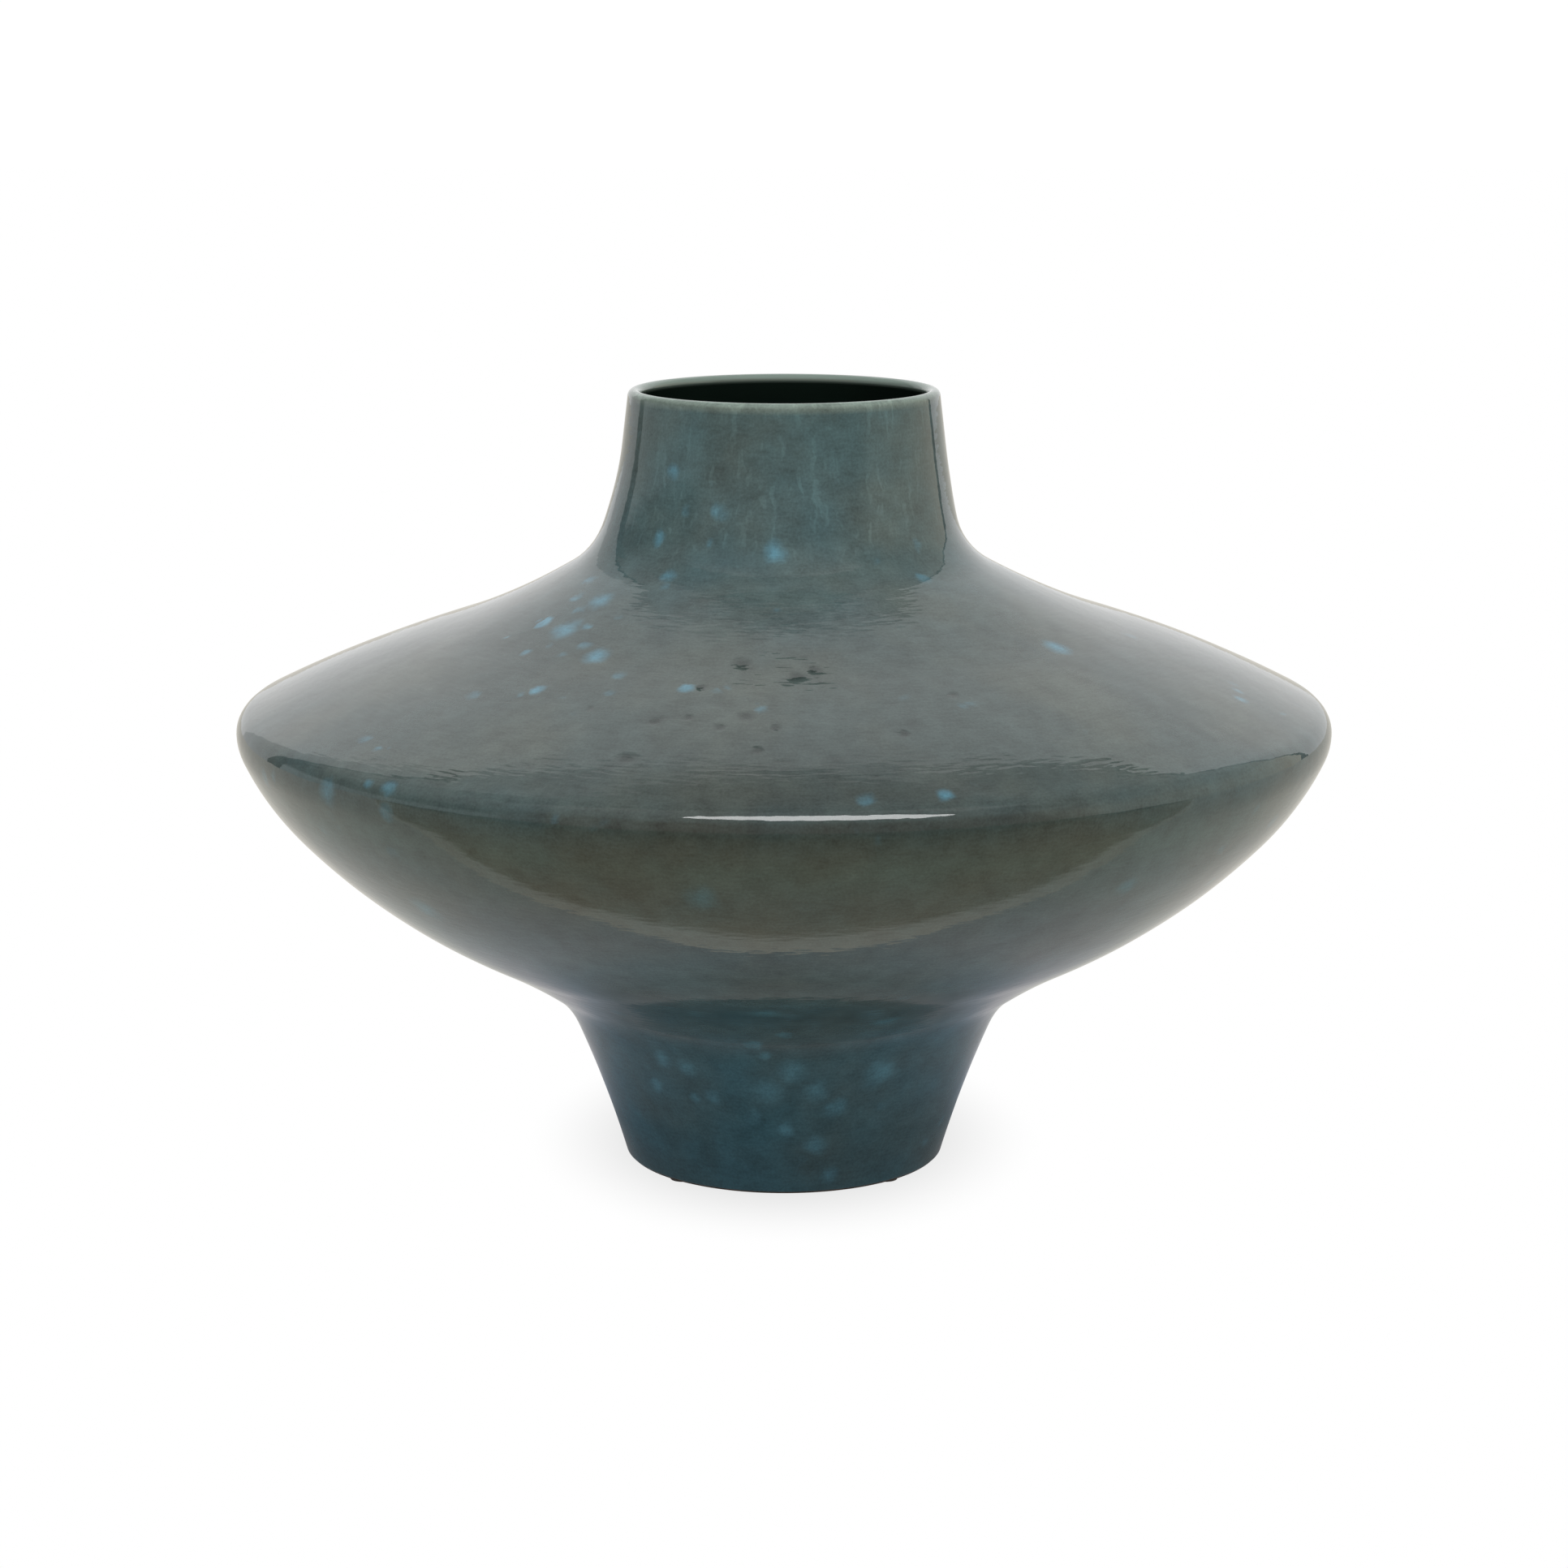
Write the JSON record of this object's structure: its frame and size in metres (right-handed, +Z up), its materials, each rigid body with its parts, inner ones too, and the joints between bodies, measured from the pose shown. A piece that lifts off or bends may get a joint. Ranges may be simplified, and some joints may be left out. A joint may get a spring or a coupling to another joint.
{
  "type": "flower vase",
  "caption": "Low, wide stoneware flower vase: a hollow disc-shaped body on a tapered foot, with a short open neck and a mottled gloss glaze.",
  "frame": {"origin": "on the table, under the middle of the foot", "axes": "+Z up along the vase's axis of revolution; +X and +Y are horizontal, and the front faces -Y"},
  "size_m": [0.3999, 0.4, 0.287],
  "materials": {
    "stoneware": "bare fired clay, matt and slightly gritty",
    "teal_glaze": "gloss, mottled dark teal, brown-grey and pale blue",
    "liner_glaze": "gloss, near-black green",
    "felt": "dark wool felt"
  },
  "bodies": {
    "root": {"upper_shell": "stoneware", "lower_shell": "stoneware", "outer_glaze": "teal_glaze", "inner_glaze": "liner_glaze", "base_glaze": "liner_glaze", "foot_pad_1": "felt", "foot_pad_2": "felt", "foot_pad_3": "felt", "foot_pad_4": "felt"}
  },
  "joints": []
}
